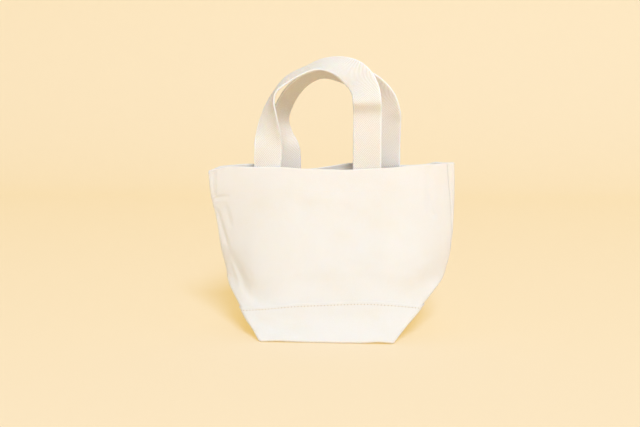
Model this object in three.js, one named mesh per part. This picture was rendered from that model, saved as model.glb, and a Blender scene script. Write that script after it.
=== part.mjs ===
// A small cotton tote: canvas walls, a boxed base that laps over them, and two webbing handles.
// Millimetres, +Z up, front at -Y, origin at the middle of the flat underside.
// A place on the cloth is written as (around, up, out): around the bag from the middle of the front
// panel, up the wall from the base edge, and out from the fitted surface along its normal.
import * as THREE from "three";

// Driving sizes
const FLAT_WIDTH = 292; // across the mouth when the bag is pressed flat
const BASE_DEPTH = 146; // front to back across the boxed base
const WALL = 207; // cloth height from the base edge to the rim
const STANDING = 187; // height at which the rim stands, since the wall is slack
const CLOTH = 1; // canvas thickness
const HEM_DEPTH = 31; // how far the mouth hem is turned in
const LAP_TOP = 50; // how far up the wall the base panel reaches
const LAP_OVERLAP = 12; // how far the upper panels go down behind the base panel
const EDGE_BEND = 3; // how far the cloth bends round the edge of the flat base
const ALLOWANCE = 10; // width of the seam allowances inside
const WEBBING_WIDTH = 32;
const WEBBING_THICK = 2.4;
const TAIL_LENGTH = 28; // length of webbing sewn to the hem at each end
const LEG_SPACING = 114; // between the middles of the front handle's legs
const BACK_SPREAD = 3; // how much wider the rear handle is sewn
const HANDLE_SHIFT = -2.3; // front handle's middle, to the right of its panel's middle
const BACK_OFFSET = -3.7; // rear handle's shift beyond that
const DROP = 118; // from the rim to the middle of the webbing at the top of the front loop
const NESTING = 6; // how far the rear loop's top lies below the front loop it is tucked under
const CROWNS_APART = 20; // how far the rear loop's top lies to the right of the front loop's
const CROWN_DEPTH = 17.2; // from the middle of the bag, front to back, to the line the loops climb
const THREAD = 0.6; // how far a stitch stands above the cloth
const THREAD_WIDTH = 1;
const NEEDLE_DIP = 0.3; // how much of the thread still shows where the needle goes in
const STITCH_PITCH = 8;
const EDGE_TO_STITCH = 4; // from a folded edge to the row of stitches beside it
const OVERLOCK_PITCH = 7;
const OVERLOCK_DEPTH = 3.5;
const OVERLOCK_END = 2.5; // how far a row of overlocking stops short of the cloth's end

// Clearances
const PLY_GAP = 0.4; // between layers that lie on each other
const SEAM_GAP = 0.3; // between panels that meet edge to edge
const THREAD_GAP = 0.6; // between a row of stitches and the cloth it lies on
const LOOP_GAP = 0.6; // between a sewn handle end and the loop that swings

// How the slack cloth settles
const SKEW = 12.5; // how far the side folds lie round from the side seams, at the rim
const RIM_RIGHT_LIFT = 4.5;
const RIM_LEFT_DROP = 5;
const RIM_MIDDLE_SAG = 2;
const LAP_TILT = 8;

// Horizontal sections from the base (at 0) to the rim (at 1). belly: degrees that the front has
// curved round by the crease; middle and width: where and over how much of half the flat width it
// curves; crease: how far the crease to the side has come from the base corner to the side seam;
// fold: its width; front and seam: heights of the middle and of the side seam as shares of STANDING;
// lean: to the right.
const SECTIONS = [
  {
    at: 0, belly: 0, middle: 0.5, width: 0.4, crease: 0, fold: 0.068,
    front: 0, seam: 0, lean: 0,
  },
  {
    at: 0.12, belly: 6, middle: 0.5, width: 0.4, crease: 0.22, fold: 0.08,
    front: 0.112, seam: 0.085, lean: 2,
  },
  {
    at: 0.23, belly: 18, middle: 0.5, width: 0.5, crease: 0.416, fold: 0.1,
    front: 0.212, seam: 0.166, lean: 3,
  },
  {
    at: 0.33, belly: 31, middle: 0.54, width: 0.55, crease: 0.656, fold: 0.1,
    front: 0.314, seam: 0.25, lean: 4.8,
  },
  {
    at: 0.42, belly: 43, middle: 0.575, width: 0.55, crease: 0.904, fold: 0.085,
    front: 0.408, seam: 0.342, lean: 6.3,
  },
  {
    at: 0.7, belly: 29, middle: 0.562, width: 0.85, crease: 0.938, fold: 0.062,
    front: 0.695, seam: 0.652, lean: 4.9,
  },
  {
    at: 1, belly: 17.5, middle: 0.5, width: 1, crease: 0.952, fold: 0.048,
    front: 1, seam: 1, lean: 1,
  },
];

// The free loops, from the left leg over the top to the right leg. Each point is the place across as
// a share of half the leg spacing, how far the webbing's outer edge lies behind the feet of the legs
// as a share of the crown depth, and the height as a share of the drop, then the direction from the
// outer edge to the inner edge.
const FRONT_LOOP = [
  [-0.984, 0.09, 0.18, 1, 0, 0],
  [-0.986, 0.56, 0.35, 0.9, -0.42, 0.09],
  [-0.975, 0.9, 0.48, 0.69, -0.72, 0.06],
  [-0.94, 1.11, 0.62, 0.4, -0.91, 0.09],
  [-0.835, 1.18, 0.745, 0.15, -0.99, -0.07],
  [-0.6, 1.16, 0.855, 0.09, -0.96, -0.25],
  [-0.25, 1.16, 0.945, 0.01, -0.97, -0.26],
  [0.11, 1.09, 1, -0.19, -0.89, -0.42],
  [0.53, 0.7, 0.965, -0.64, -0.54, -0.55],
  [0.825, 0.03, 0.86, -0.88, 0, -0.48],
  [0.955, -0.32, 0.745, -0.98, 0, -0.21],
  [0.99, -0.62, 0.64, -1, 0, -0.04],
  [1, -0.3, 0.55, -1, 0, 0],
  [1, -0.2, 0.5, -1, 0, 0],
  [1, -0.2, 0.24, -1, 0, 0],
];
const BACK_LOOP = [
  [-1.01, -0.16, 0.16, 1, 0.2, 0],
  [-1.09, -0.68, 0.31, 0.75, 0.64, -0.1],
  [-1.14, -0.97, 0.49, 0.57, 0.82, -0.03],
  [-1.04, -1.11, 0.66, 0.52, 0.85, -0.09],
  [-0.85, -1.2, 0.82, 0.46, 0.88, -0.14],
  [-0.59, -1.24, 0.94, 0.25, 0.93, -0.27],
  [-0.24, -1.24, 1, -0.16, 0.93, -0.34],
  [0.2, -1.15, 0.97, -0.45, 0.77, -0.45],
  [0.6, -0.91, 0.895, -0.68, 0.51, -0.53],
  [0.89, -0.76, 0.755, -0.85, 0.41, -0.32],
  [1, -0.52, 0.6, -0.96, 0.23, -0.15],
  [1.01, -0.15, 0.46, -1, 0, 0],
  [1, 0, 0.23, -1, 0, 0],
];

// Mesh fineness
const QUARTER_STEPS = 96;
const FINE_STEP = 4;
const COARSE_STEP = 12;
const LOW_STEP = 6.5;
const CREASE_STEP = 8;
const UP_STEP = 17;
const LOOP_STEPS = 66;

// Worked-out sizes
const QUARTER = FLAT_WIDTH / 2;
const BASE_WIDTH = FLAT_WIDTH - BASE_DEPTH;
const ROUND = 4 * QUARTER;
const PANEL_OUT = -(CLOTH + PLY_GAP); // outer face of the upper panels
const FACING_OUT = PANEL_OUT - CLOTH - PLY_GAP;
const TAIL_OUT = FACING_OUT - CLOTH - PLY_GAP;
const TAIL_IN = TAIL_OUT - WEBBING_THICK;
const BACK_DROP = DROP - WEBBING_THICK - NESTING;
const HEM_EDGE = WALL - HEM_DEPTH;
const PANEL_FOOT = LAP_TOP - LAP_OVERLAP;
const CREASE_START = BASE_WIDTH / 2 - 8; // where the fine part of the grid starts
const CREASE_TOP = WALL * 0.46; // above this the crease has reached the side seam

const CANVAS = { color: 0xf5ede0, roughness: 0.95, metalness: 0 };
const WEBBING = { color: 0xf3ebdb, roughness: 0.92, metalness: 0 };
const COTTON_THREAD = { color: 0xeee3cf, roughness: 0.8, metalness: 0 };

const bag = new THREE.Group();

function smooth(t) {
  const c = Math.min(1, Math.max(0, t));
  return c * c * (3 - 2 * c);
}

// A value of the sections at a share of the wall height, on a smooth curve through them.
function settled(key, share) {
  const last = SECTIONS.length - 1;
  let i = 0;
  while (i < last - 1 && SECTIONS[i + 1].at <= share) i += 1;
  const slope = (j) => {
    const a = SECTIONS[Math.max(0, j - 1)];
    const b = SECTIONS[Math.min(last, j + 1)];
    return (b[key] - a[key]) / (b.at - a.at);
  };
  const [low, high] = [SECTIONS[i], SECTIONS[i + 1]];
  const span = high.at - low.at;
  const t = (share - low.at) / span;
  const rise = slope(i) * span;
  const fall = slope(i + 1) * span;
  const ease = t * t * (3 - 2 * t);
  const start = t * (1 - t) * (1 - t);
  const end = t * t * (t - 1);
  return low[key] * (1 - ease) + high[key] * ease + start * rise + end * fall;
}

// A quarter of the section at one height, from the middle of the front to the side: how far it has
// gone across, and how far it still lies in front of the side.
const quarters = new Map();
function quarterAt(up) {
  if (quarters.has(up)) return quarters.get(up);
  const share = up / WALL;
  const belly = THREE.MathUtils.degToRad(settled("belly", share));
  const middle = settled("middle", share) * QUARTER;
  const width = settled("width", share) * QUARTER;
  const crease = THREE.MathUtils.lerp(BASE_WIDTH / 2, QUARTER, settled("crease", share));
  const fold = settled("fold", share) * QUARTER;
  const heading = (along) =>
    belly * smooth((along - middle) / width + 0.5) +
    (Math.PI / 2 - belly) * smooth((along - crease) / fold + 0.5);
  const across = [0];
  const inward = [0];
  const step = QUARTER / QUARTER_STEPS;
  for (let i = 1; i <= QUARTER_STEPS; i += 1) {
    const angle = heading((i - 0.5) * step);
    across.push(across[i - 1] + Math.cos(angle) * step);
    inward.push(inward[i - 1] + Math.sin(angle) * step);
  }
  const quarter = { across, inward, depth: inward[QUARTER_STEPS] };
  quarters.set(up, quarter);
  return quarter;
}

function readAt(list, along) {
  const place = (along / QUARTER) * QUARTER_STEPS;
  const i = Math.min(QUARTER_STEPS - 1, Math.floor(place));
  return THREE.MathUtils.lerp(list[i], list[i + 1], place - i);
}

// The fitted surface, which is the outer face of the base panel.
function surface(around, up) {
  const share = up / WALL;
  const upper = smooth((share - 0.3) / 0.7);
  const turned = around - SKEW * upper;
  const wrapped = THREE.MathUtils.euclideanModulo(turned + 2 * QUARTER, ROUND) - 2 * QUARTER;
  const front = Math.abs(wrapped) <= QUARTER;
  const along = front ? Math.abs(wrapped) : 2 * QUARTER - Math.abs(wrapped);
  const quarter = quarterAt(up);
  const x = Math.sign(wrapped) * readAt(quarter.across, along) + settled("lean", share);
  const y = (front ? 1 : -1) * (readAt(quarter.inward, along) - quarter.depth);
  const side = smooth((along - 0.2 * QUARTER) / (0.73 * QUARTER));
  const place = x / QUARTER;
  const rim =
    RIM_RIGHT_LIFT * Math.max(0, place) ** 2 -
    RIM_LEFT_DROP * Math.max(0, -place) ** 10 -
    RIM_MIDDLE_SAG * (1 - place * place) ** 2;
  const lap = smooth(share / 0.2) * (1 - upper) * LAP_TILT * place * (1 - place * place);
  const rise = THREE.MathUtils.lerp(settled("front", share), settled("seam", share), side);
  const height = STANDING * rise;
  return new THREE.Vector3(x, y, height + upper * rim + lap);
}

// A place on the cloth, moved out along the surface's normal.
function cloth(around, up, out) {
  const d = 0.5;
  const above = Math.min(WALL, up + d);
  const below = Math.max(0, up - d);
  const acrossway = surface(around + d, up).sub(surface(around - d, up));
  const upway = surface(around, above).sub(surface(around, below));
  const normal = acrossway.cross(upway).normalize();
  return surface(around, up).addScaledVector(normal, out);
}

function steps(from, to, size) {
  const count = Math.max(1, Math.ceil(Math.abs(to - from) / size));
  return Array.from({ length: count + 1 }, (_, i) => from + ((to - from) * i) / count);
}

// The grid that every layer of cloth shares: places round the bag, closer together where the creases
// and side folds run, and places up the wall.
function gridAround() {
  const flat = [CREASE_START, 2 * QUARTER - CREASE_START];
  const marks = [-QUARTER, -flat[0], flat[0], QUARTER, flat[1], 4 * QUARTER - flat[1], 3 * QUARTER];
  const sizes = [FINE_STEP, COARSE_STEP, FINE_STEP, FINE_STEP, COARSE_STEP, FINE_STEP];
  return sizes.flatMap((size, i) => steps(marks[i], marks[i + 1], size).slice(1));
}

function gridUp() {
  const marks = [0, PANEL_FOOT, LAP_TOP, CREASE_TOP, HEM_EDGE, WALL];
  const sizes = [LOW_STEP, LOW_STEP, CREASE_STEP, UP_STEP, UP_STEP];
  return sizes.flatMap((size, i) => steps(marks[i], marks[i + 1], size).slice(1));
}

const AROUND = gridAround();
const UP = gridUp();

function within(grid, from, to) {
  const clear = 0.5;
  return [from, ...grid.filter((place) => place > from + clear && place < to - clear), to];
}

// A closed body from rings of points. Each ring is joined to the next, and the first and last are
// closed by strips between the points that face each other across them. Four-sided faces are split
// along their shorter diagonal, so that layers that lie on each other are split alike.
function bodyOfRings(rings) {
  const points = rings.flat();
  const size = rings[0].length;
  const last = (rings.length - 1) * size;
  const index = [];
  for (let start = 0; start < last; start += size) {
    for (let j = 0; j < size; j += 1) {
      const [a, b] = [start + j, start + ((j + 1) % size)];
      const [c, d] = [b + size, a + size];
      const shorter = points[a].distanceTo(points[c]) < points[b].distanceTo(points[d]);
      index.push(...(shorter ? [a, b, c, a, c, d] : [a, b, d, b, c, d]));
    }
  }
  for (let j = 0; j < size / 2 - 1; j += 1) {
    const k = size - 1 - j;
    index.push(j, k, k - 1, j, k - 1, j + 1);
    index.push(last + j, last + k - 1, last + k, last + j, last + j + 1, last + k - 1);
  }
  if (volumeOf(points, index) < 0) index.reverse();
  const geometry = new THREE.BufferGeometry().setFromPoints(points);
  geometry.setIndex(index);
  return geometry;
}

function volumeOf(points, index) {
  let volume = 0;
  for (let i = 0; i < index.length; i += 3) {
    const [a, b, c] = [points[index[i]], points[index[i + 1]], points[index[i + 2]]];
    volume += new THREE.Vector3().crossVectors(b, c).dot(a) / 6;
  }
  return volume;
}

// A sheet of cloth over a grid of places, as thick as the two layers are apart.
function sheet(arounds, ups, outer, inner) {
  const ring = (around) => [
    ...ups.map((up) => cloth(around, up, outer)),
    ...ups.toReversed().map((up) => cloth(around, up, inner)),
  ];
  return bodyOfRings(arounds.map(ring));
}

// One continuous thread through places on the cloth: it stands up where a stitch lies on the cloth
// and dips where the needle goes in.
function thread(places, layer, outward) {
  const base = layer + outward * THREAD_GAP;
  const rings = places.map(([around, up, stitched], i) => {
    const before = places[Math.max(0, i - 1)];
    const after = places[Math.min(places.length - 1, i + 1)];
    const way = new THREE.Vector2(after[0] - before[0], after[1] - before[1]).normalize();
    const size = stitched ? 1 : NEEDLE_DIP;
    const [x, y] = [-way.y, way.x].map((part) => (part * size * THREAD_WIDTH) / 2);
    const crown = base + outward * size * THREAD;
    return [
      cloth(around + x, up + y, base),
      cloth(around + x, up + y, crown),
      cloth(around - x, up - y, crown),
      cloth(around - x, up - y, base),
    ];
  });
  return bodyOfRings(rings);
}

// Running stitches from corner to corner on the cloth.
function runningStitches(corners) {
  const places = [];
  corners.slice(1).forEach((end, i) => {
    const start = corners[i];
    const run = Math.hypot(end[0] - start[0], end[1] - start[1]);
    const count = Math.max(1, Math.round(run / STITCH_PITCH));
    for (let k = 0; k < 2 * count; k += 1) {
      const share = k / (2 * count);
      const at = (axis) => THREE.MathUtils.lerp(start[axis], end[axis], share);
      places.push([at(0), at(1), k % 2 === 1]);
    }
  });
  return [...places, [...corners.at(-1), false]];
}

function add(name, geometry, finish) {
  const mesh = new THREE.Mesh(geometry, new THREE.MeshStandardMaterial(finish));
  mesh.name = name;
  bag.add(mesh);
}

// The upper canvas of one side, from seam to seam, with its hem turned in and its topstitching.
function addPanel(side, middle) {
  const [left, right] = [middle - QUARTER + SEAM_GAP / 2, middle + QUARTER - SEAM_GAP / 2];
  const arounds = within(AROUND, left, right);
  const outer = sheet(arounds, within(UP, PANEL_FOOT, WALL), PANEL_OUT, PANEL_OUT - CLOTH);
  add(`${side}_panel`, outer, CANVAS);
  const hem = sheet(arounds, within(UP, HEM_EDGE, WALL), FACING_OUT, FACING_OUT - CLOTH);
  add(`${side}_hem_facing`, hem, CANVAS);
  const ends = [left + EDGE_TO_STITCH, right - EDGE_TO_STITCH];
  const row = (up) => runningStitches(ends.map((around) => [around, up]));
  const hemRow = thread(row(HEM_EDGE + EDGE_TO_STITCH), PANEL_OUT, 1);
  add(`${side}_hem_stitching`, hemRow, COTTON_THREAD);
  add(`${side}_lap_stitching`, thread(row(LAP_TOP - EDGE_TO_STITCH), 0, 1), COTTON_THREAD);
}

// The lower canvas: a flat underside and walls all round, which lap over the upper panels.
function addBasePanel() {
  const loop = (up, out) => AROUND.map((around) => cloth(around, up, out));
  const flat = (out, height) => loop(EDGE_BEND, out).map((point) => point.setZ(height));
  const underside = flat(-EDGE_BEND, 0);
  const floor = flat(-CLOTH - EDGE_BEND, CLOTH);
  const outside = within(UP, EDGE_BEND, LAP_TOP).map((up) => loop(up, 0));
  const inside = within(UP, CLOTH + EDGE_BEND, LAP_TOP).map((up) => loop(up, -CLOTH));
  const rings = [underside, ...outside, ...inside.toReversed(), floor];
  add("base_panel", bodyOfRings(rings), CANVAS);
}

// The raw edges of a side seam, pressed away from the side fold and overlocked.
function addSideAllowance(side, seam) {
  const edge = seam - ALLOWANCE;
  const thick = 2 * CLOTH;
  const [arounds, ups] = [within(AROUND, edge, seam), within(UP, PANEL_FOOT, HEM_EDGE - PLY_GAP)];
  const strip = sheet(arounds, ups, FACING_OUT, FACING_OUT - thick);
  add(`${side}_side_allowance`, strip, CANVAS);
  const rows = steps(PANEL_FOOT + OVERLOCK_END, HEM_EDGE - OVERLOCK_END, OVERLOCK_PITCH / 2);
  const inward = [edge + THREAD_WIDTH, edge + THREAD_WIDTH + OVERLOCK_DEPTH];
  const zigzag = rows.map((up, i) => [inward[i % 2], up, true]);
  add(`${side}_side_overlock`, thread(zigzag, FACING_OUT - thick, -1), COTTON_THREAD);
}

// The boxed corner's raw edges, which lie across the floor of the bag along its short side.
function addCornerAllowance(side, sign) {
  const seam = BASE_WIDTH / 2 - 2 * CLOTH - EDGE_BEND;
  const edge = seam - ALLOWANCE;
  const reach = BASE_DEPTH / 2 - 0.8 * ALLOWANCE;
  const thick = 2 * CLOTH;
  const strip = new THREE.BoxGeometry(ALLOWANCE, 2 * reach, thick);
  const bottom = CLOTH + PLY_GAP;
  strip.translate((sign * (edge + seam)) / 2, 0, bottom + thick / 2);
  add(`${side}_corner_allowance`, strip, CANVAS);
  const low = bottom + thick + THREAD_GAP;
  const inward = [edge + THREAD_WIDTH, edge + THREAD_WIDTH + OVERLOCK_DEPTH];
  const rows = steps(OVERLOCK_END - reach, reach - OVERLOCK_END, OVERLOCK_PITCH / 2);
  const half = THREAD_WIDTH / 2;
  const rings = rows.map((y, i) => {
    const corner = (dx, z) => new THREE.Vector3(sign * inward[i % 2] + dx, y, z);
    const high = low + THREAD;
    return [corner(-half, low), corner(-half, high), corner(half, high), corner(half, low)];
  });
  add(`${side}_corner_overlock`, bodyOfRings(rings), COTTON_THREAD);
}

// A handle end lies flat on the hem inside, boxed round and crossed with stitches.
function addTail(name, around) {
  const half = WEBBING_WIDTH / 2;
  const foot = WALL - TAIL_LENGTH;
  const arounds = steps(around - half, around + half, WEBBING_WIDTH / 4);
  add(`${name}_end`, sheet(arounds, within(UP, foot, WALL), TAIL_OUT, TAIL_IN), WEBBING);
  const [left, right] = [around - half + EDGE_TO_STITCH, around + half - EDGE_TO_STITCH];
  const [low, high] = [foot + EDGE_TO_STITCH, WALL - EDGE_TO_STITCH];
  const clear = 2 * THREAD_WIDTH;
  const corners = [
    [left, low],
    [right, low],
    [right, high],
    [left, high],
    [left, low + clear],
    [right - clear, high - clear],
  ];
  const boxed = thread(runningStitches(corners), TAIL_IN, -1);
  add(`${name}_stitching`, boxed, COTTON_THREAD);
}

// The section of a handle as it leaves the rim, just above the sewn end. Its width runs to the right
// on a left leg and to the left on a right leg, as the loop's does.
function legSection(around, outward, widthway) {
  const half = (outward * widthway * WEBBING_WIDTH) / 2;
  const [near, far] = outward > 0 ? [TAIL_OUT, TAIL_IN] : [TAIL_IN, TAIL_OUT];
  const corner = (across, layer) => {
    const point = cloth(around + across, WALL, layer);
    return point.setZ(point.z + LOOP_GAP);
  };
  return [corner(-half, near), corner(half, near), corner(half, far), corner(-half, far)];
}

function middleOf(section) {
  const sum = section.reduce((total, point) => total.add(point), new THREE.Vector3());
  return sum.divideScalar(section.length);
}

// The free loop of a handle: flat webbing swept from leg to leg, turning as it climbs. It drifts from
// above its feet to above the crown's place as it climbs.
function addLoop(name, [left, right], crown, drop, route) {
  const [start, end] = [middleOf(left), middleOf(right)];
  const centre = start.clone().add(end).multiplyScalar(0.5);
  const halfSpacing = (end.x - start.x) / 2;
  const places = route.map(([across, behind, height, , backward]) => {
    const lean = behind * CROWN_DEPTH + (backward * WEBBING_WIDTH) / 2;
    const foot = new THREE.Vector3().lerpVectors(centre, crown, smooth(height)).setZ(centre.z);
    return foot.add(new THREE.Vector3(across * halfSpacing, lean, height * drop));
  });
  const widths = route.map(([, , , x, y, z]) => new THREE.Vector3(x, y, z));
  const across = ([first, second]) => second.clone().sub(first).normalize();
  const line = new THREE.CatmullRomCurve3([start, ...places, end]);
  const turn = new THREE.CatmullRomCurve3([across(left), ...widths, across(right)]);
  const between = steps(0, 1, 1 / LOOP_STEPS).slice(1, -1);
  const rings = between.map((t) => {
    const middle = line.getPoint(t);
    const along = line.getTangent(t);
    const width = turn.getPoint(t);
    width.addScaledVector(along, -width.dot(along)).setLength(WEBBING_WIDTH / 2);
    const thick = new THREE.Vector3().crossVectors(along, width).setLength(WEBBING_THICK / 2);
    const corner = (w, n) => middle.clone().addScaledVector(width, w).addScaledVector(thick, n);
    return [corner(-1, -1), corner(1, -1), corner(1, 1), corner(-1, 1)];
  });
  add(name, bodyOfRings([left, ...rings, right]), WEBBING);
}

// A handle's two sewn ends, and the sections in which its legs leave the rim. outward is 1 on the
// front and -1 on the back.
function addEnds(side, outward, shift, spacing) {
  const middle = outward > 0 ? shift : 2 * QUARTER - shift;
  const [left, right] = [middle - (outward * spacing) / 2, middle + (outward * spacing) / 2];
  addTail(`${side}_handle_left`, left);
  addTail(`${side}_handle_right`, right);
  return [legSection(left, outward, 1), legSection(right, outward, -1)];
}

function addHandles() {
  const front = addEnds("front", 1, HANDLE_SHIFT, LEG_SPACING);
  const back = addEnds("back", -1, HANDLE_SHIFT + BACK_OFFSET, LEG_SPACING + BACK_SPREAD);
  const between = [...front, ...back].reduce((sum, leg) => sum + middleOf(leg).x / 4, 0);
  const crown = (outward) =>
    new THREE.Vector3(between - (outward * CROWNS_APART) / 2, -outward * CROWN_DEPTH, 0);
  addLoop("front_handle", front, crown(1), DROP, FRONT_LOOP);
  addLoop("back_handle", back, crown(-1), BACK_DROP, BACK_LOOP);
}

addPanel("front", 0);
addPanel("back", 2 * QUARTER);
addBasePanel();
addSideAllowance("right", QUARTER);
addSideAllowance("left", 3 * QUARTER);
addCornerAllowance("right", 1);
addCornerAllowance("left", -1);
addHandles();

export default bag;
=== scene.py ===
"""A small cotton tote in undyed canvas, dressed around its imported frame.

Sizes are in millimetres, in the frame's own axes, and a mesh is made in metres. A place on the cloth
is (around, up, out): around the bag from the middle of the front, up the wall from the edge of the
base, and out from the fitted surface.
"""
import math

import bmesh
import bpy
import numpy as np
from mathutils import Euler, Matrix, Vector


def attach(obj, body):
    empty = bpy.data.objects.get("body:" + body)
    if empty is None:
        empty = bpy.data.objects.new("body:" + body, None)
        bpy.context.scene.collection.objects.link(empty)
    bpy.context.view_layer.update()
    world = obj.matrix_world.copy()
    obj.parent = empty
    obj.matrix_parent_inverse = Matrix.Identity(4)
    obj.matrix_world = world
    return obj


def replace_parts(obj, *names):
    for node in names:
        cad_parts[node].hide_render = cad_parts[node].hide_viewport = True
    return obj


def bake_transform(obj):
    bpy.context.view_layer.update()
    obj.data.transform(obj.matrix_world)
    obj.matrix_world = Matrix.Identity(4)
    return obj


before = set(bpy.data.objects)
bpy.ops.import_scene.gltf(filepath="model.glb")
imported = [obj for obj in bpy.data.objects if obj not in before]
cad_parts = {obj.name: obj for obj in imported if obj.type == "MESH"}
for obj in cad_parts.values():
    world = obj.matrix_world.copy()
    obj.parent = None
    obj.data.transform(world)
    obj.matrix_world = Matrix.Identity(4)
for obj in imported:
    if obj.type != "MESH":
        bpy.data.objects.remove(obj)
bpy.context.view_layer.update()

# Sizes shared with the frame
MM = 0.001
FLAT_WIDTH = 292
BASE_DEPTH = 146
WALL = 207
STANDING = 187
CLOTH = 1
HEM_DEPTH = 31
LAP_TOP = 50
LAP_OVERLAP = 12
EDGE_BEND = 3
ALLOWANCE = 10
WEBBING_WIDTH = 32
WEBBING_THICK = 2.4
TAIL_LENGTH = 28
LEG_SPACING = 114
BACK_SPREAD = 3
HANDLE_SHIFT = -2.3
BACK_OFFSET = -3.7
DROP = 115.5  # less than the frame's, by about as much as the rim stands higher here
NESTING = 6
CROWNS_APART = 20
CROWN_DEPTH = 17.2
EDGE_TO_STITCH = 4
PLY_GAP = 0.4
LOOP_GAP = 0.6
SKEW = 12.5
RIM_RIGHT_LIFT = 4.5
RIM_LEFT_DROP = 5
RIM_MIDDLE_SAG = 2
LAP_TILT = 8

# Worked-out sizes
QUARTER = FLAT_WIDTH / 2
ROUND = 4 * QUARTER
BASE_WIDTH = FLAT_WIDTH - BASE_DEPTH
PANEL_OUT = -(CLOTH + PLY_GAP)
FACING_OUT = PANEL_OUT - CLOTH - PLY_GAP
TAIL_OUT = FACING_OUT - CLOTH - PLY_GAP
TAIL_IN = TAIL_OUT - WEBBING_THICK
TAIL_MIDDLE = (TAIL_OUT + TAIL_IN) / 2
BACK_DROP = DROP - WEBBING_THICK - NESTING
HEM_EDGE = WALL - HEM_DEPTH
PANEL_FOOT = LAP_TOP - LAP_OVERLAP
SEAMS = {"right": QUARTER, "left": 3 * QUARTER}

# Sewing
STITCH = 3.7  # length of a lap stitch
HEM_STITCH = 3.2
BOX_STITCH = 2.8
OVERLOCK_STEP = 2.6
OVERLOCK_REACH = 3.6
LAP_ROW = LAP_TOP - EDGE_TO_STITCH
HEM_ROW = HEM_EDGE + EDGE_TO_STITCH
STITCH_SEED = 5

# Threads: the thickness, how far a stitch stands out of the cloth, and how far its ends go in
LAP_THREAD = {"Thread": 0.5, "Rise": 0.3, "Sink": 0.4}
HEM_THREAD = {"Thread": 0.3, "Rise": 0.05, "Sink": 0.3}
HANDLE_THREAD = {"Thread": 0.7, "Rise": 0.35, "Sink": 0.3}
OVERLOCK_THREAD = {"Thread": 0.5, "Rise": 0.3, "Sink": 0.1}

# Heights below and above the top of the rim at a handle's legs; the handle pieces work them out and use them
# no further
BEND_BELOW = 2
BEND_ABOVE = 18

# Seam allowances
ALLOWANCE_THICK = 1.6 * CLOTH  # two layers pressed together
CORNER_SEAM = BASE_WIDTH / 2 - 2 * CLOTH - EDGE_BEND  # how far across a boxed corner's seam lies
CORNER_REACH = BASE_DEPTH / 2 - 0.8 * ALLOWANCE
CORNER_LIFT = 0.3  # how far a corner's allowance lies off the floor
CORNER_WAVE = 0.25

# Weaves
YARN = 0.8  # from one yarn of the canvas to the next
TWILL = 1.9  # from one ridge of the webbing's twill to the next, along the webbing
WEBBING_YARN = 0.75
WEBBING_RIB = 1.1  # from one rib of the firm edge to the next
SELVEDGE = 1.7  # width of the webbing's firm edge
CANVAS_BUMP = 0.00016  # heights of the weaves and of the thread's lay, in metres
WEBBING_BUMP = 0.0004
THREAD_BUMP = 0.00008

# Mesh fineness
AROUND_STEP = 1.5
UP_STEP = 1.5
ALONG_STEP = 0.9
ALLOWANCE_STEP = 1.2
TAIL_STEP = 1.4
LOOP_SAMPLES = 900
FLOOR_RINGS = [0.0, 0.12, 0.3, 0.5, 0.68, 0.82, 0.91, 0.96, 1.0]  # from the floor's middle to its edge
SEAM_MEETS = 0.03  # how far a wall stops short of the seam's middle

# Horizontal sections of the walls, from the base edge (0) to the rim (1): how far round the front
# curves by the crease, where and how widely; how far the crease has come from the base corner to the
# side seam, and its width; the heights of the middle and the side seam; and the lean to the right.
SECTIONS = {
    "at": [0, 0.12, 0.23, 0.33, 0.42, 0.7, 1],
    "belly": [0, 6, 18, 31, 43, 29, 17.5],
    "middle": [0.5, 0.5, 0.5, 0.54, 0.575, 0.562, 0.5],
    "width": [0.4, 0.4, 0.5, 0.55, 0.55, 0.85, 1],
    "crease": [0, 0.22, 0.416, 0.656, 0.904, 0.938, 0.952],
    "fold": [0.068, 0.08, 0.1, 0.1, 0.085, 0.062, 0.048],
    "front": [0, 0.112, 0.212, 0.314, 0.408, 0.695, 1],
    "seam": [0, 0.085, 0.166, 0.25, 0.342, 0.652, 1],
    "lean": [0, 2, 3, 4.8, 6.3, 4.9, 1],
}

# Waves of the rim: (place across, half width, rise)
RIM_WAVES = {
    "front": [(-139, 5, -2.3), (-60, 22, 1.5), (18, 15, -0.7), (98, 18, 1.0)],
    "back": [(-92, 22, 1.6), (-30, 24, -3.7), (26, 20, 3.0), (100, 20, -1.0), (122, 7, 1.4)],
}

# How far the slack sides stand out beyond the fitted surface
RIM_STANDS = 3.2  # how much higher the rim stands than the fitted surface, save at its left corner
CORNER_FLARE = 2.4  # at the left corner of the rim
BACK_RIM_ROLLS = [(24, 34, 3.5), (-96, 22, 2.45)]  # outwards: (place across, half width, reach)
LEFT_FLARE = 1.8
RIGHT_FLARE = 3.2
KNEE_FLARE = 3.2  # on the right, where the wall leaves the base
LAP_PUCKER = 0.15  # how deep the lap's stitches draw the cloth in
HEM_RIDGE = 0.05  # how far the doubled cloth of the hem stands out

# Where the front edge of the base doesn't quite touch the ground: (around, half width, rise)
BASE_LIFTS = [(58, 13, 1.5), (-52, 16, 0.8), (250, 30, 1.2)]

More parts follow.
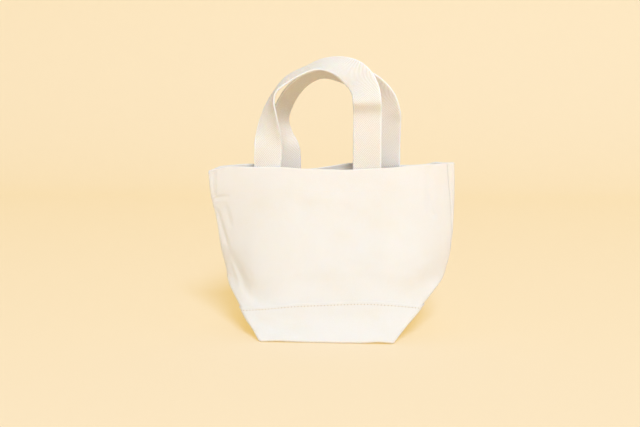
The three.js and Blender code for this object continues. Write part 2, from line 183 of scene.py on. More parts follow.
# Folds of the slack cloth: a line of (around, up), how far it stands out of the surface (a valley is
# negative), its width on the left and on the right of the line, and how much of it tapers off.
FOLDS = {
    "hem_pleat": ([(-122, 208), (-124.5, 192), (-127, 176)], -1.1, 2.6, 4.5, 0.12),
    "hem_edge_left": ([(-140, 175.5), (-124, 175.2), (-104, 174.8)], -0.6, 1.6, 2.6, 0.3),
    "outer_pleat": ([(-129, 168), (-128, 150), (-125.5, 130), (-122.5, 114)], -1.2, 3.0, 4.5, 0.25),
    "inner_pleat": ([(-115, 170), (-114, 156), (-112.5, 138)], -0.8, 3.0, 5.0, 0.3),
    "ear": (
        [(-127, 124), (-121, 105), (-108, 81.5), (-98.5, 69.5), (-86, 58.7), (-71, 54.5), (-58, 49)],
        -1.4, 9.0, 4.6, 0.22,
    ),
    "ear_ridge": ([(-124, 98), (-114, 77), (-102, 62), (-88, 53)], 0.3, 4.0, 5.0, 0.3),
    "second_crease": ([(-128, 112), (-126.5, 96), (-118, 76)], -0.6, 3.2, 3.2, 0.3),
    "short_crease": ([(-101, 97), (-93, 84)], -0.35, 3.0, 3.0, 0.4),
    "below_lap": ([(-88, 33), (-72, 25), (-55, 19.6), (-38, 16.6), (-14, 21)], -1.1, 6.0, 6.0, 0.3),
    "right_pleat": ([(125, 208), (122.6, 185), (119.3, 159), (128, 149)], -1.1, 3.6, 4.4, 0.12),
    "right_slant": ([(60, 80), (94, 100), (128, 114)], -0.5, 6.0, 6.0, 0.4),
    "arch": ([(-52, 148), (-30, 170), (-1, 172), (27, 170), (60, 148)], 0.7, 9.0, 7.0, 0.35),
    "back_slant": ([(210, 60), (262, 92), (330, 84)], -1.8, 12.0, 8.0, 0.35),
    "back_ear": ([(408, 118), (398, 92), (378, 66), (352, 52)], -2.0, 3.6, 8.0, 0.25),
    "back_pleat": ([(186, 206), (188, 180), (184, 152)], -1.2, 4.0, 4.0, 0.2),
    "gusset_right": ([(149, 74), (147, 40), (146, 6)], -1.8, 14.0, 14.0, 0.35),
    "gusset_left": ([(435, 74), (437, 40), (438, 6)], -1.8, 14.0, 14.0, 0.35),
}

# The free loops, from the left leg over the top to the right leg: the place across as a share of half
# the leg spacing, how far the outer edge lies behind the feet as a share of the crown depth, the
# height as a share of the drop, and the direction from the outer edge to the inner edge.
FRONT_LOOP = [
    (-0.984, 0.09, 0.18, 1, 0, 0),
    (-0.986, 0.56, 0.35, 0.9, -0.42, 0.09),
    (-0.975, 0.9, 0.48, 0.69, -0.72, 0.06),
    (-0.94, 1.11, 0.62, 0.4, -0.91, 0.09),
    (-0.835, 1.18, 0.745, 0.15, -0.99, -0.07),
    (-0.6, 1.16, 0.855, 0.09, -0.96, -0.25),
    (-0.25, 1.16, 0.945, 0.01, -0.97, -0.26),
    (0.11, 1.09, 1, -0.19, -0.89, -0.42),
    (0.53, 0.7, 0.965, -0.64, -0.54, -0.55),
    (0.825, 0.03, 0.86, -0.88, 0, -0.48),
    (0.955, -0.32, 0.745, -0.98, 0, -0.21),
    (0.99, -0.62, 0.64, -1, 0, -0.04),
    (1, -0.3, 0.55, -1, 0, 0),
    (1, -0.2, 0.5, -1, 0, 0),
    (1, -0.2, 0.24, -1, 0, 0),
]
BACK_LOOP = [
    (-1.01, -0.16, 0.16, 1, 0.2, 0),
    (-1.09, -0.68, 0.31, 0.75, 0.64, -0.1),
    (-1.14, -0.97, 0.49, 0.57, 0.82, -0.03),
    (-1.04, -1.11, 0.66, 0.52, 0.85, -0.09),
    (-0.85, -1.2, 0.82, 0.46, 0.88, -0.14),
    (-0.59, -1.24, 0.94, 0.25, 0.93, -0.27),
    (-0.24, -1.24, 1, -0.16, 0.93, -0.34),
    (0.2, -1.15, 0.97, -0.45, 0.77, -0.45),
    (0.6, -0.91, 0.895, -0.68, 0.51, -0.53),
    (0.89, -0.76, 0.755, -0.85, 0.41, -0.32),
    (1, -0.52, 0.6, -0.96, 0.23, -0.15),
    (1.01, -0.15, 0.46, -1, 0, 0),
    (1, 0, 0.23, -1, 0, 0),
]


# The fitted surface of the cloth

def smooth(t):
    c = np.clip(t, 0, 1)
    return c * c * (3 - 2 * c)


def lerp(a, b, t):
    return a + (b - a) * t


def eased(start, end, first, second, t):
    """A curve from start to end that leaves and arrives at the rates first and second."""
    rest = end - start
    return start + first * t + (3 * rest - 2 * first - second) * t**2 + (first + second - 2 * rest) * t**3


def settled(key, share):
    """A value of the sections at a share of the wall height, on a smooth curve through them."""
    at, values = np.array(SECTIONS["at"], float), np.array(SECTIONS[key], float)
    before = np.maximum(0, np.arange(len(at)) - 1)
    after = np.minimum(len(at) - 1, np.arange(len(at)) + 1)
    slopes = (values[after] - values[before]) / (at[after] - at[before])
    i = np.clip(np.searchsorted(at, share, side="right") - 1, 0, len(at) - 2)
    span = at[i + 1] - at[i]
    return eased(values[i], values[i + 1], slopes[i] * span, slopes[i + 1] * span, (share - at[i]) / span)


def quarter_tables(step=0.5):
    """How far across and how far in a quarter of each section has gone, at each height."""
    share = np.linspace(0, 1, round(WALL / step) + 1)[:, None]
    count = round(QUARTER / step)
    belly = np.radians(settled("belly", share))
    middle, width = settled("middle", share) * QUARTER, settled("width", share) * QUARTER
    crease = lerp(BASE_WIDTH / 2, QUARTER, settled("crease", share))
    along = (np.arange(count)[None, :] + 0.5) * QUARTER / count
    heading = belly * smooth((along - middle) / width + 0.5)
    turned = smooth((along - crease) / (settled("fold", share) * QUARTER) + 0.5)
    heading = heading + (np.pi / 2 - belly) * turned
    start = np.zeros((len(share), 1))
    across = np.hstack([start, np.cumsum(np.cos(heading), axis=1)]) * QUARTER / count
    inward = np.hstack([start, np.cumsum(np.sin(heading), axis=1)]) * QUARTER / count
    return across, inward - inward[:, -1:]


ACROSS_TABLE, DEPTH_TABLE = quarter_tables()


def read_table(table, up, along):
    rows, columns = table.shape
    r = np.clip(up / WALL * (rows - 1), 0, rows - 1.000001)
    c = np.clip(along / QUARTER * (columns - 1), 0, columns - 1.000001)
    i, j = r.astype(int), c.astype(int)
    low = lerp(table[i, j], table[i, j + 1], c - j)
    high = lerp(table[i + 1, j], table[i + 1, j + 1], c - j)
    return lerp(low, high, r - i)


def bumps(place, waves):
    """Soft bumps: each has a place, a half width and a rise."""
    return sum(rise * np.exp(-((place - middle) / width) ** 2) for middle, width, rise in waves)


def slack_sides(x, up):
    """The place across of the slack cloth, from that of the fitted surface: the right side stands out
    from its middle up, and most at the knee above the base; the left one in its middle and at the rim."""
    out_right, out_left = smooth((x - 50) / 70), smooth((-x - 50) / 70)
    x = x + RIGHT_FLARE * smooth((up - 76) / 44) * (1 - 0.3 * smooth((up - 165) / 42)) * out_right
    x = x + KNEE_FLARE * np.exp(-(((up - 40) / 16) ** 2)) * out_right
    x = x - LEFT_FLARE * smooth((up - 90) / 40) * (1 - smooth((up - 170) / 37)) * out_left
    return x - CORNER_FLARE * smooth((up - 150) / 57) * smooth((-x - 95) / 40)


def rim_shape(x, front):
    """How the rim rises at the right, drops at the left corner and sags between, its waves, and how much
    higher it stands than the fitted surface."""
    place = x / QUARTER
    rim = RIM_RIGHT_LIFT * np.maximum(0, place) ** 2
    rim = rim - RIM_LEFT_DROP * np.maximum(0, -place) ** 10
    rim = rim - RIM_MIDDLE_SAG * (1 - place * place) ** 2
    waves = np.where(front, bumps(x, RIM_WAVES["front"]), bumps(x, RIM_WAVES["back"]))
    back_raised = smooth((x + 140) / 13) * (0.85 + 0.15 * smooth((x + 70) / 75))
    return rim, waves, RIM_STANDS * np.where(front, smooth((x + 140) / 28), back_raised)


def surface(around, up):
    """The cloth's place without its folds."""
    share = up / WALL
    upper = smooth((share - 0.3) / 0.7)
    wrapped = (around - SKEW * upper + 2 * QUARTER) % ROUND - 2 * QUARTER
    front = np.abs(wrapped) <= QUARTER
    along = np.where(front, np.abs(wrapped), 2 * QUARTER - np.abs(wrapped))
    x = slack_sides(np.sign(wrapped) * read_table(ACROSS_TABLE, up, along) + settled("lean", share), up)
    y = np.where(front, 1, -1) * read_table(DEPTH_TABLE, up, along)
    y = y + np.where(front, 0, smooth((up - 188) / 19) * bumps(x, BACK_RIM_ROLLS))
    side = smooth((along - 0.2 * QUARTER) / (0.73 * QUARTER))
    place = x / QUARTER
    rim, waves, stands = rim_shape(x, front)
    lap = smooth(share / 0.2) * (1 - upper) * LAP_TILT * place * (1 - place * place)
    height = STANDING * lerp(settled("front", share), settled("seam", share), side)
    height = height + upper * rim + smooth((share - 0.5) / 0.5) * waves + lap
    height = height + stands * smooth((share - 0.35) / 0.6)
    height = height + bumps(around, BASE_LIFTS) * (1 - smooth(up / 14))
    return np.stack([x, y, height], axis=-1)


def run_on(points):
    """The points, with one more at each end that carries the line on."""
    points = np.array(points, float)
    return np.vstack([2 * points[0] - points[1], points, 2 * points[-1] - points[-2]])


def curve_through(points, steps=8):
    """A smooth line through points, with that many pieces between each two."""
    ends = run_on(points)
    a, b, c, d = ends[:-3, None], ends[1:-2, None], ends[2:-1, None], ends[3:, None]
    line = eased(b, c, (c - a) / 2, (d - b) / 2, (np.arange(steps) / steps)[:, None])
    return np.vstack([line.reshape(-1, 2), ends[-2]])


def runs(steps):
    """How far along a line each of its points is, from the lengths of its steps."""
    return np.concatenate([[0], np.cumsum(steps)])


def fold(around, up, line, rise, left, right, taper):
    """How far one fold moves the cloth out."""
    line = curve_through(line)
    middle = line[:, 0].mean()
    near = (around - middle + 2 * QUARTER) % ROUND - 2 * QUARTER + middle
    reach = 3 * max(left, right)
    moved = np.zeros(np.shape(around))
    low, high = line.min(axis=0) - reach, line.max(axis=0) + reach
    inside = (near > low[0]) & (near < high[0]) & (up > low[1]) & (up < high[1])
    if not inside.any():
        return moved
    places = np.stack([near[inside], up[inside]], axis=-1)[:, None, :]
    start, step = line[None, :-1], np.diff(line, axis=0)[None]
    lengths = np.hypot(step[..., 0], step[..., 1])
    t = np.clip(((places - start) * step).sum(axis=-1) / lengths**2, 0, 1)
    off = places - start - step * t[..., None]
    distance = np.hypot(off[..., 0], off[..., 1])
    nearest = distance.argmin(axis=1)
    each = np.arange(len(nearest))
    turning = step[..., 0] * off[..., 1] - step[..., 1] * off[..., 0]
    width = np.where(turning[each, nearest] > 0, left, right)
    run = runs(lengths[0])
    share = (run[nearest] + t[each, nearest] * lengths[0][nearest]) / run[-1]
    ends = smooth(share / taper) * smooth((1 - share) / taper)
    moved[inside] = rise * np.exp(-((distance[each, nearest] / width) ** 2)) * ends
    return moved


def ripples(count, shortest, longest, height, seed):
    """Gentle waves that close on themselves round the bag: (turns round, turns up, phase, height)."""
    dice = np.random.default_rng(seed)
    waves = []
    while len(waves) < count:
        length = dice.uniform(shortest, longest)
        angle = dice.uniform(0, math.pi)
        turns = round(ROUND * math.cos(angle) / length)
        waves.append((turns, math.sin(angle) / length, dice.uniform(0, 2 * math.pi), height))
    return waves


RIPPLES = ripples(9, 70, 150, 0.22, 4) + ripples(14, 22, 48, 0.07, 9)


def seam_shape(around):
    """The groove of a side seam, and the low band where its allowances lie behind the cloth."""
    off = (around + QUARTER) % (2 * QUARTER)
    off = np.where(off > QUARTER, off - 2 * QUARTER, off)
    band = smooth((off + ALLOWANCE + 1) / 2) * smooth((0.5 - off) / 1)
    return 0.2 * band - 0.35 * np.exp(-((off / 0.9) ** 2))


def relief(around, up):
    """How far the cloth stands out of the fitted surface."""
    moved = seam_shape(around)
    for turns, rate, phase, height in RIPPLES:
        moved = moved + height * np.sin(2 * math.pi * (turns * around / ROUND + rate * up) + phase)
    for line, rise, left, right, taper in FOLDS.values():
        moved = moved + fold(around, up, line, rise, left, right, taper)
    hem = HEM_RIDGE * smooth((up - HEM_EDGE + 5) / 10)
    lap = -LAP_PUCKER * np.exp(-(((up - LAP_ROW) / 1.6) ** 2))
    grounded = smooth(up / 8)
    return grounded * (moved + hem + lap)


def normal_of(shape, around, up, reach=0.5):
    above, below = np.minimum(WALL, up + reach), np.maximum(0, up - reach)
    across = shape(around + reach, up) - shape(around - reach, up)
    upward = shape(around, above) - shape(around, below)
    normal = np.cross(across, upward)
    return normal / np.linalg.norm(normal, axis=-1, keepdims=True)


def settled_surface(around, up):
    out = relief(around, up)[..., None]
    return surface(around, up) + normal_of(surface, around, up) * out


def cloth(around, up, out):
    """Places on the cloth, moved out along its normal. The arguments are numbers or arrays."""
    around, up, out = np.broadcast_arrays(*[np.asarray(v, float) for v in (around, up, out)])
    normal = normal_of(settled_surface, around, up)
    return settled_surface(around, up) + normal * out[..., None]


# Meshes

def placed(name, data):
    """A new object in the scene, at the origin."""
    thing = bpy.data.objects.new(name, data)
    bpy.context.scene.collection.objects.link(thing)
    return thing


def mesh_piece(name, points, faces, uv, material):
    """A mesh from points in millimetres, four-sided faces, and a cloth place for each face corner."""
    mesh = bpy.data.meshes.new(name)
    flat = np.asarray(faces, np.int32).ravel()
    mesh.vertices.add(len(points))
    mesh.vertices.foreach_set("co", (np.asarray(points) * MM).astype(np.float32).ravel())
    mesh.loops.add(len(flat))
    mesh.loops.foreach_set("vertex_index", flat)
    mesh.polygons.add(len(faces))
    mesh.polygons.foreach_set("loop_start", np.arange(0, len(flat), 4, dtype=np.int32))
    mesh.polygons.foreach_set("use_smooth", np.ones(len(faces), bool))
    mesh.update(calc_edges=True)
    layer = mesh.uv_layers.new(name="cloth")
    layer.data.foreach_set("uv", (np.asarray(uv) * MM).astype(np.float32).ravel())
    mesh.validate()
    mesh.materials.append(material)
    return placed(name, mesh)


def ring_faces(rings, size, closed=False, wraps=True):
    """Faces between rings of points, and for each corner its ring and its place on the ring."""
    steps = np.arange(rings if closed else rings - 1), np.arange(size if wraps else size - 1)
    r, c = np.meshgrid(*steps, indexing="ij")
    corners = [(r, c), (r, c + 1), (r + 1, c + 1), (r + 1, c)]
    faces = np.stack([(a % rings) * size + b % size for a, b in corners], axis=-1).reshape(-1, 4)
    places = np.stack([np.stack([a, b], axis=-1) for a, b in corners], axis=2).reshape(-1, 4, 2)
    return faces, places


def tube_piece(name, rings, uv, material):
    """A closed body from rings of points, as (ring, place, 3). uv is (ring, place + 1, 2), and the ends
    are closed by strips between the points that face each other."""
    count, size = rings.shape[:2]
    faces, places = ring_faces(count, size)
    j = np.arange(size // 2 - 1)
    k = size - 1 - j
    cap = np.stack([j, k, k - 1, j + 1], axis=-1)
    faces = np.vstack([faces, cap[:, ::-1], cap + (count - 1) * size])
    corners = uv[places[..., 0], places[..., 1]]
    corners = np.concatenate([corners, uv[0][cap[:, ::-1]], uv[count - 1][cap]])
    points = rings.reshape(-1, 3)
    if signed_volume(points, faces) < 0:
        faces, corners = faces[:, ::-1], corners[:, ::-1]
    return mesh_piece(name, points, faces, corners, material)


def signed_volume(points, faces):
    a, b, c, d = (points[faces[:, i]] for i in range(4))
    return (np.cross(b, c) * a).sum() + (np.cross(c, d) * a).sum()


def spaced(start, end, step):
    count = max(1, math.ceil(abs(end - start) / step))
    return np.linspace(start, end, count + 1)


def merged(*lists, least=0.12):
    places = np.sort(np.concatenate([np.atleast_1d(v) for v in lists]))
    keep = np.concatenate([[True], np.diff(places) > least])
    return places[keep]


def beside(edge, direction, widths=(0, 0.15, 0.4, 0.7, 1.1, 1.6, 2.3)):
    return edge + direction * np.array(widths)


def sheet_piece(name, arounds, ups, outer, inner, material):
    """A sheet of cloth over a grid of places. outer and inner give its two faces at each height."""
    a, u = np.meshgrid(arounds, ups, indexing="ij")
    rings = np.concatenate([cloth(a, u, outer), cloth(a, u, inner)[:, ::-1]], axis=1)
    return tube_piece(name, rings, both_faces(arounds, ups), material)


def both_faces(arounds, ups):
    """Cloth places of a sheet's rings, which run along its outer face and back along its inner face."""
    run = np.concatenate([ups, 2 * ups[-1] - ups[::-1], [2 * ups[-1] - ups[0]]])
    return np.stack(np.meshgrid(arounds, run, indexing="ij"), axis=-1)


def rounded_edge(ups, edge, radius):
    """How much of its half thickness a sheet has near an edge, where it rounds off to nothing."""
    t = np.clip((radius - np.abs(edge - ups)) / radius, 0, 1)
    return np.sqrt(1 - t * t)


# Materials

def add_node(tree, kind, settings=None, **inputs):
    """A node with its settings. An input is named, or is _ and its number, and takes a value or a socket."""
    node = tree.nodes.new(kind)
    for key, value in (settings or {}).items():
        setattr(node, key, value)
    for key, value in inputs.items():
        value = getattr(value, "socket", value)
        socket = node.inputs[int(key[1:]) if key[0] == "_" else key.replace("_", " ")]
        if isinstance(value, bpy.types.NodeSocket):
            tree.links.new(value, socket)
        else:
            socket.default_value = value
    return node


def add_value(tree, kind, settings=None, output=0, **inputs):
    """One output of a new node."""
    return Value(tree, add_node(tree, kind, settings, **inputs).outputs[output])


class Value:
    """A socket that takes the signs of arithmetic, with short calls for the nodes of the finishes."""

    def __init__(self, tree, socket):
        self.tree, self.socket = tree, socket

    def math(self, operation, *others):
        inputs = {f"_{i}": value for i, value in enumerate((self, *others))}
        return add_value(self.tree, "ShaderNodeMath", {"operation": operation}, **inputs)

    def __add__(self, other):
        return self.math("ADD", other)

    def __sub__(self, other):
        return self.math("SUBTRACT", other)

    def __rsub__(self, other):
        return self * -1 + other

    def __mul__(self, other):
        return self.math("MULTIPLY", other)

    def __truediv__(self, other):
        return self.math("DIVIDE", other)

    def __abs__(self):
        return self.math("ABSOLUTE")

    def wave(self):
        """The sine of a number of turns."""
        return (self * (2 * math.pi)).math("SINE")

    def ramp(self, low, high, to_low=0.0, to_high=1.0):
        settings = {"interpolation_type": "SMOOTHSTEP"}
        values = {"_1": low, "_2": high, "_3": to_low, "_4": to_high}
        return add_value(self.tree, "ShaderNodeMapRange", settings, _0=self, **values)

    def mix(self, a, b):
        return add_value(self.tree, "ShaderNodeMix", {"data_type": "RGBA"}, 2, _0=self, _6=a, _7=b)

    def noise(self, scale, detail):
        inputs = {"Vector": self, "Scale": scale, "Detail": detail}
        return add_value(self.tree, "ShaderNodeTexNoise", None, "Fac", **inputs)

    def stretched(self, x, y):
        return add_value(self.tree, "ShaderNodeMapping", Vector=self, Scale=(x, y, 1.0))


def new_material(name):
    material = bpy.data.materials.new(name)
    material.use_nodes = True
    material.node_tree.nodes.clear()
    return material


def cloth_material(name):
    """A new material, its place on the cloth, and the two parts of that place."""
    material = new_material(name)
    uv = add_value(material.node_tree, "ShaderNodeUVMap", {"uv_map": "cloth"})
    parts = add_node(uv.tree, "ShaderNodeSeparateXYZ", Vector=uv).outputs
    return material, uv, Value(uv.tree, parts[0]), Value(uv.tree, parts[1])


def finished(material, color, height, distance, strength, roughness, **constants):
    tree = material.node_tree
    bump = add_value(tree, "ShaderNodeBump", Height=height, Distance=distance, Strength=strength)
    skin = add_value(tree, "ShaderNodeBsdfPrincipled", Base_Color=color, Normal=bump, Roughness=roughness,
                     **constants)
    add_node(tree, "ShaderNodeOutputMaterial", Surface=skin)
    return material


def linear(red, green, blue):
    """A colour from 0 to 255 as a shader takes it."""
    parts = [v / 255 for v in (red, green, blue)]
    return [v / 12.92 if v <= 0.04045 else ((v + 0.055) / 1.055) ** 2.4 for v in parts] + [1]


CANVAS_COLOR = linear(238, 237, 236)
CANVAS_WARM = linear(236, 232, 222)
# Painted shade for the grooves of the weave and of a thread's twist
GROOVE_SHADE_COLOR = linear(228, 220, 206)
FLECK_COLOR = linear(150, 128, 96)
# Painted shade inside the needle holes
HOLE_SHADE_COLOR = linear(150, 120, 78)
WEBBING_COLOR = linear(252, 252, 251)
# Painted shade in the grooves of the webbing's twill
TWILL_SHADE_COLOR = linear(214, 200, 176)
THREAD_COLOR = linear(243, 235, 220)
# The strengths below scale both the painted shade in the holes and their dent in the bump
HEM_HOLES = 0.02  # how strongly the needle holes of a row show
LAP_HOLES = 0.6
HOLE_CORE, HOLE_RIM = 0.3, 0.85  # how far from its middle a hole is full, and how far it reaches


def needle_holes(around, up, row, pitch):
    """Small holes in a row along the cloth, one at each end of a stitch."""
    across = ((around / (pitch * MM)).math("FRACT") - 0.5) * pitch
    above = (up - row * MM) * (1 / MM)
    return (across * across + above * above).math("SQRT").ramp(HOLE_CORE, HOLE_RIM, 1.0, 0.0)


def plain_weave(around, up):
    """Rounded yarns that go over and under each other by turns."""
    u, v = around / (YARN * MM), up / (YARN * MM)
    over = abs((u.math("FLOOR") + v.math("FLOOR")).math("MODULO", 2))
    across, upward = abs((u / 2).wave()), abs((v / 2).wave())
    warp, weft = across * (upward * 0.45 + 0.55), upward * (across * 0.45 + 0.55)
    return warp * over + weft * (1 - over)


def seed_flecks(uv):
    """A few small specks of seed husk."""
    cells = add_node(uv.tree, "ShaderNodeTexVoronoi", Vector=uv, Scale=30.0).outputs
    chosen = add_value(uv.tree, "ShaderNodeSeparateColor", Color=cells["Color"])
    speck = Value(uv.tree, cells["Distance"]).ramp(0.008, 0.02, 1.0, 0.0)
    return speck * chosen.math("GREATER_THAN", 0.62)


def canvas_material(name, hole_row=None, hole_pitch=None, hole_strength=None):
    """Plain-woven undyed cotton with slubs, seed flecks and a soft sheen, with painted shade in the grooves
    of the weave and in any needle holes.
    """
    material, uv, around, up = cloth_material(name)
    weave = plain_weave(around, up)
    slubs = uv.stretched(1300, 60).noise(1.0, 3) + uv.stretched(60, 1300).noise(1.0, 3)
    warm = (uv.noise(22, 4) + slubs * 0.35).ramp(0.7, 1.15)
    color = (warm * 0.5).mix(CANVAS_COLOR, CANVAS_WARM)
    # Painted shade: the colour darkens where the yarns dip, in the grooves of the weave
    color = weave.ramp(0.1, 0.6, 0.55, 0.0).mix(color, GROOVE_SHADE_COLOR)
    color = (seed_flecks(uv) * 0.75).mix(color, FLECK_COLOR)
    height = weave + slubs * 0.7 + uv.noise(4200, 2) * 0.35
    if hole_row is not None:
        holes = needle_holes(around, up, hole_row, hole_pitch) * hole_strength
        # Painted shade: the needle holes are painted dark, as well as pressed in by the bump
        color, height = holes.mix(color, HOLE_SHADE_COLOR), height - holes * 3.0
    roughness = weave.ramp(0, 1, 0.97, 0.86)
    return finished(material, color, height, CANVAS_BUMP, 0.55, roughness, Sheen_Weight=0.06,
                    Sheen_Roughness=0.5, Specular_IOR_Level=0.25, Subsurface_Weight=0.4,
                    Subsurface_Scale=0.0015, Subsurface_Radius=(1.0, 0.8, 0.6))


def webbing_material():
    """Heavy cotton webbing: steep twill ridges between two firm, finely ribbed selvedges, with painted shade
    in the twill's grooves.
    """
    material, uv, across, along = cloth_material("webbing")
    twill = ((across * 0.9 + along) / (TWILL * MM) + uv.noise(160, 2) * 0.35).wave() * 0.5 + 0.5
    yarns = (across / (WEBBING_YARN * MM)).wave() * 0.5 + 0.5
    ribs = (along / (WEBBING_RIB * MM)).wave() * 0.25 + 0.7
    edge = WEBBING_WIDTH / 2 * MM - abs(across)
    firm = edge.ramp((SELVEDGE - 0.4) * MM, (SELVEDGE + 0.3) * MM, 1.0, 0.0)
    height = (twill * 0.8 + yarns * 0.25) * (1 - firm) + ribs * firm + uv.noise(3800, 3) * 0.4
    # Painted shade: the colour darkens in the twill's grooves, but not on the firm edges
    groove_shade = twill.ramp(0.0, 0.55, 0.85, 0.0) * (1 - firm)
    color = groove_shade.mix(WEBBING_COLOR, TWILL_SHADE_COLOR)
    color = uv.noise(35, 3).ramp(0.35, 0.75, 0.0, 0.25).mix(color, CANVAS_WARM)
    return finished(material, color, height, WEBBING_BUMP, 0.9, 0.9, Sheen_Weight=0.06,
                    Sheen_Roughness=0.5, Specular_IOR_Level=0.2, Subsurface_Weight=0.55,
                    Subsurface_Scale=0.004, Subsurface_Radius=(1.0, 0.7, 0.45))


def thread_material():
    """Spun sewing thread, with its lay wound round it and painted shade in the grooves of its twist."""
    material = new_material("sewing_thread")
    tree = material.node_tree
    lay, girth = (add_value(tree, "ShaderNodeAttribute", {"attribute_name": name}, "Fac")
                  for name in ("lay", "girth"))
    twist = (lay * 7.0 + girth * 2.0).wave()
    height = twist * 0.6 + add_value(tree, "ShaderNodeTexCoord", None, "Object").noise(2600, 2)
    # Painted shade: the thread darkens in the grooves of its twist
    color = twist.ramp(-1, 1, 0.35, 0.0).mix(THREAD_COLOR, GROOVE_SHADE_COLOR)
    return finished(material, color, height, THREAD_BUMP, 0.6, 0.78, Sheen_Weight=0.2,
                    Sheen_Roughness=0.4)


canvas_finish = canvas_material("canvas", HEM_ROW, HEM_STITCH, HEM_HOLES)
lap_finish = canvas_material("canvas_lap", LAP_ROW, STITCH, LAP_HOLES)
plain_finish = canvas_material("canvas_inside")
webbing_finish = webbing_material()
thread_finish = thread_material()


# The walls and the base

def panel_arounds(middle):
    left, right = middle - QUARTER + SEAM_MEETS, middle + QUARTER - SEAM_MEETS
    return merged(spaced(left, right, AROUND_STEP), beside(left, 1), beside(right, -1))


def wall_piece(side, middle):
    """One upper canvas from seam to seam: up the outside, over the rim and down to the hem's edge."""
    rim_radius = (CLOTH * 2 + PLY_GAP) / 2
    ups = merged(
        spaced(PANEL_FOOT, WALL, UP_STEP),
        beside(HEM_EDGE, 1, (0, 0.15, 0.4, 0.8, 1.2)),
        beside(HEM_EDGE, -1, (0.3, 0.8)),
        beside(WALL, -1, (0, 0.06, 0.2, 0.45, 0.8, 1.2)),
        least=0.05,
    )
    outer = np.full(len(ups), PANEL_OUT)
    hem = CLOTH + PLY_GAP
    step = np.where(ups < HEM_EDGE, 0, rounded_edge(ups, HEM_EDGE, 0.9))
    inner = PANEL_OUT - CLOTH - hem * step
    centre = PANEL_OUT - rim_radius
    rim = rounded_edge(ups, WALL, rim_radius)
    outer, inner = centre + (outer - centre) * rim, centre + (inner - centre) * rim
    piece = sheet_piece(f"{side}_wall", panel_arounds(middle), ups, outer, inner, canvas_finish)
    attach(piece, "bag")
    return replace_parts(piece, f"{side}_panel", f"{side}_hem_facing")


def base_rings():
    """The lower canvas as rings round the bag: the underside, the wall with its folded top, the floor."""
    seams = [-QUARTER, QUARTER, 3 * QUARTER]
    arounds = merged(
        spaced(-QUARTER, 3 * QUARTER, AROUND_STEP),
        *[beside(seam, side) for seam in seams for side in (1, -1)],
    )
    arounds = arounds[(arounds >= -QUARTER) & (arounds < 3 * QUARTER - 0.1)]

    def loop(up, out, height=None, share=1.0):
        points = cloth(arounds, up, out)
        if height is not None:
            points[:, 2] = height + bumps(arounds, BASE_LIFTS) * smooth((share - 0.8) / 0.2)
            points[:, :2] *= share
        return points

    edge = loop(EDGE_BEND, 0)[:, 2] - bumps(arounds, BASE_LIFTS)
    bend = [
        loop(EDGE_BEND, -EDGE_BEND * (1 - math.sin(turn)), edge * (1 - math.cos(turn)))
        for turn in np.radians([22.5, 45, 67.5])
    ]
    top = beside(LAP_TOP, -1, (0, 0.04, 0.13, 0.28, 0.5, 0.9))
    ups = merged(spaced(EDGE_BEND, LAP_TOP, UP_STEP), top, least=0.03)
    rounded = list(zip(ups, rounded_edge(ups, LAP_TOP, CLOTH / 2)))
    outside = [loop(up, CLOTH / 2 * (r - 1)) for up, r in rounded]
    inside = [loop(up, -CLOTH / 2 * (1 + r)) for up, r in rounded if up > CLOTH + EDGE_BEND]
    under = [loop(EDGE_BEND, -EDGE_BEND, 0.0, share) for share in FLOOR_RINGS]
    floor = [loop(EDGE_BEND, -CLOTH - EDGE_BEND, CLOTH, share) for share in FLOOR_RINGS]
    rings = np.stack(under + bend + outside + inside[::-1] + floor[::-1], axis=1)
    run = runs(np.linalg.norm(np.diff(rings[0], axis=0), axis=1))
    first = len(under) + len(bend)
    last = first + len(outside) - 1
    above = np.arange(len(run)) > last
    run = np.where(above, run - run[last] + LAP_TOP, run - run[first] + EDGE_BEND)
    run[first:last + 1] = ups
    return rings, arounds, run


def base_piece():
    rings, arounds, run = base_rings()
    count, size = rings.shape[:2]
    faces, places = ring_faces(count, size, closed=True, wraps=False)
    turned = np.append(arounds, arounds[0] + ROUND)
    uv = np.stack([turned[places[..., 0]], run[places[..., 1]]], axis=-1)
    flat = rings.reshape(-1, 3)
    place, level = faces % size, len(FLOOR_RINGS)
    lying = (place < level).all(axis=1) | (place >= size - level).all(axis=1)
    uv[lying] = flat[faces[lying]][..., :2]
    if signed_volume(flat, faces) < 0:
        faces, uv = faces[:, ::-1], uv[:, ::-1]
    piece = mesh_piece("base", flat, faces, uv, lap_finish)
    merge_doubles(piece)
    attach(piece, "bag")
    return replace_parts(piece, "base_panel")


def merge_doubles(piece):
    """Closes the two poles of the base."""
    mesh = bmesh.new()
    mesh.from_mesh(piece.data)
    bmesh.ops.remove_doubles(mesh, verts=mesh.verts, dist=0.00001)
    bmesh.ops.dissolve_degenerate(mesh, dist=0.000001, edges=mesh.edges)
    mesh.to_mesh(piece.data)
    mesh.free()


def raw_edge(edge, seam):
    """Places across a seam allowance, closer together at its raw edge."""
    return merged(spaced(edge, seam, ALLOWANCE_STEP), beside(edge, 1, (0, 0.1, 0.3, 0.6)), least=0.05)


def allowance_layer(ups):
    """How far in a side seam's allowance lies: against the wall, and further in behind the lap."""
    return lerp(PANEL_OUT, FACING_OUT, smooth((ups - PANEL_FOOT + 8) / 8))


def side_allowance(side, seam):
    """The raw edges of a side seam, pressed to one side inside the bag."""
    arounds = raw_edge(seam - ALLOWANCE, seam)
    ups = spaced(EDGE_BEND + 3, HEM_EDGE - PLY_GAP, UP_STEP)
    outer = allowance_layer(ups)
    inner = outer - ALLOWANCE_THICK
    piece = sheet_piece(f"{side}_seam_edge", arounds, ups, outer, inner, plain_finish)
    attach(piece, "bag")
    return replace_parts(piece, f"{side}_side_allowance")


def corner_height(x, y, sign, above=0.0):
    """How high a corner's allowance lies: it waves a little towards its raw edge."""
    wave = CORNER_WAVE * np.sin(y / 9 + sign) * (CORNER_SEAM - x) / ALLOWANCE
    return CLOTH + PLY_GAP + CORNER_LIFT + wave + above


